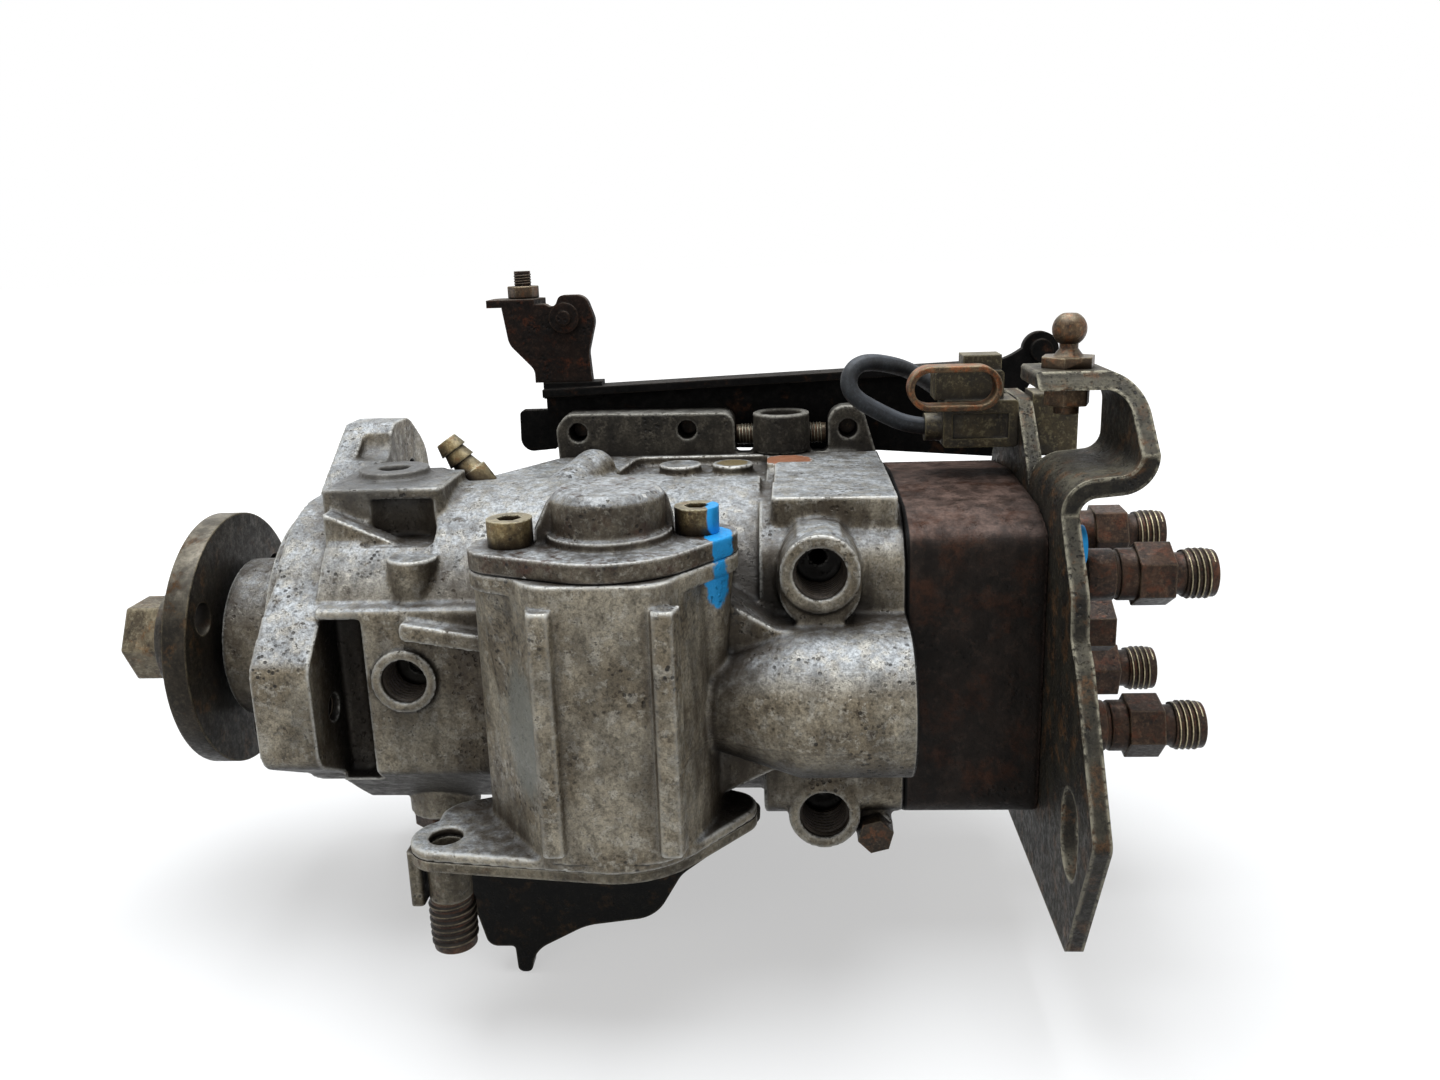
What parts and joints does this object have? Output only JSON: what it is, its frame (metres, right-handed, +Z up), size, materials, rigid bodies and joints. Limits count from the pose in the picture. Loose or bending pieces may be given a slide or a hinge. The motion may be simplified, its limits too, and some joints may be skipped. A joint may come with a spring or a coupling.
{
  "type": "diesel injection pump",
  "caption": "Distributor-type diesel injection pump with drive hub, mechanical governor, timing piston, stop solenoid and high-pressure outlets.",
  "frame": {"origin": "drive shaft axis in the plane of the mounting face of the flange", "axes": "+X along the drive shaft towards the outlets, +Y towards the governor cover, +Z up as the pump lies on its side"},
  "size_m": [0.2918, 0.182, 0.1738],
  "materials": {
    "cast": "cast, grimy",
    "head": "rusty",
    "steel": "worn",
    "dark_steel": "pitted",
    "zinc": "yellow zinc plating",
    "bar": "black, worn",
    "bronze": "plain",
    "rubber": "matt",
    "plastic": "olive, dusty"
  },
  "bodies": {
    "pump": {"housing": "cast", "timing_top_cover": "cast", "governor_cover": "cast", "hydraulic_head": "head", "pump_ring": "steel", "pump_plate": "steel", "governor_shaft": "steel", "governor_spring": "steel", "return_spring": "steel", "plunger_springs": "steel", "barrel": "steel", "centre_plug": "steel", "delivery_holders": "steel", "delivery_valves": "steel", "delivery_springs": "steel", "timing_spring": "steel", "regulating_valve": "steel", "rear_bracket": "dark_steel", "timing_low_cover": "dark_steel", "tab_stud": "dark_steel", "advance_bracket": "dark_steel", "ball_stud": "dark_steel", "cable_clamp": "dark_steel", "lock_clip": "dark_steel", "drain_screw": "dark_steel", "head_screws": "zinc", "lock_nuts": "zinc", "timing_top_screws": "zinc", "cover_screws": "zinc", "adjusting_screws": "zinc", "clamp_bolt": "zinc", "solenoid": "zinc", "return_union": "zinc", "cable_bar": "bar", "shaft_bush": "bronze", "shaft_seal": "rubber", "lead": "rubber", "connector_body": "plastic", "connector_socket": "plastic"},
    "drive": {"drive_shaft": "steel", "drive_hub": "dark_steel", "shaft_nut": "dark_steel", "pump_rotor": "steel", "pump_vanes": "steel", "governor_drive_gear": "steel"},
    "cam": {"cam_plate": "steel", "plunger": "steel"},
    "governor": {"governor_cage": "steel", "flyweights": "steel"},
    "sleeve": {"governor_sleeve": "steel"},
    "lever": {"governor_lever": "steel"},
    "collar": {"control_collar": "steel"},
    "advance": {"roller_ring": "steel", "cam_rollers": "steel", "timing_pin": "steel"},
    "piston": {"timing_piston": "cast"},
    "throttle": {"throttle_shaft": "steel", "throttle_lever": "dark_steel"}
  },
  "joints": [
    {"name": "drive_turn", "type": "hinge", "parent": "pump", "child": "drive", "pos_m": [0, 0, 0], "axis": [1, 0, 0], "continuous": true},
    {"name": "plunger_stroke", "type": "slide", "parent": "drive", "child": "cam", "axis": [1, 0, 0], "range_m": [0, 0.0022], "deforming": ["plunger_springs"]},
    {"name": "governor_turn", "type": "hinge", "parent": "pump", "child": "governor", "pos_m": [0.07, 0.04, 0], "axis": [1, 0, 0], "continuous": true},
    {"name": "sleeve_slide", "type": "slide", "parent": "pump", "child": "sleeve", "axis": [1, 0, 0], "range_m": [0, 0.0025]},
    {"name": "lever_swing", "type": "hinge", "parent": "pump", "child": "lever", "pos_m": [0.12, 0.027, 0], "axis": [0, 0, 1], "range_deg": [-11.5, 0.5]},
    {"name": "collar_slide", "type": "slide", "parent": "pump", "child": "collar", "axis": [1, 0, 0], "range_m": [-0.0037, 0.0002]},
    {"name": "advance_swing", "type": "hinge", "parent": "pump", "child": "advance", "pos_m": [0.09, 0, 0], "axis": [1, 0, 0], "range_deg": [-5, 5]},
    {"name": "piston_slide", "type": "slide", "parent": "pump", "child": "piston", "axis": [0, 0, 1], "range_m": [-0.0052, 0.0052], "deforming": ["timing_spring"]},
    {"name": "throttle_swing", "type": "hinge", "parent": "pump", "child": "throttle", "pos_m": [0.086, 0.075, 0], "axis": [0, 1, 0], "range_deg": [-17, 17]}
  ],
  "couplings": [
    {"joint": "governor_turn", "follows": "drive_turn", "ratio": -1.5},
    {"joint": "lever_swing", "follows": "sleeve_slide", "rad_per_m": -76.9},
    {"joint": "collar_slide", "follows": "sleeve_slide", "ratio": -1.42},
    {"joint": "piston_slide", "follows": "advance_swing", "m_per_rad": -0.058}
  ]
}
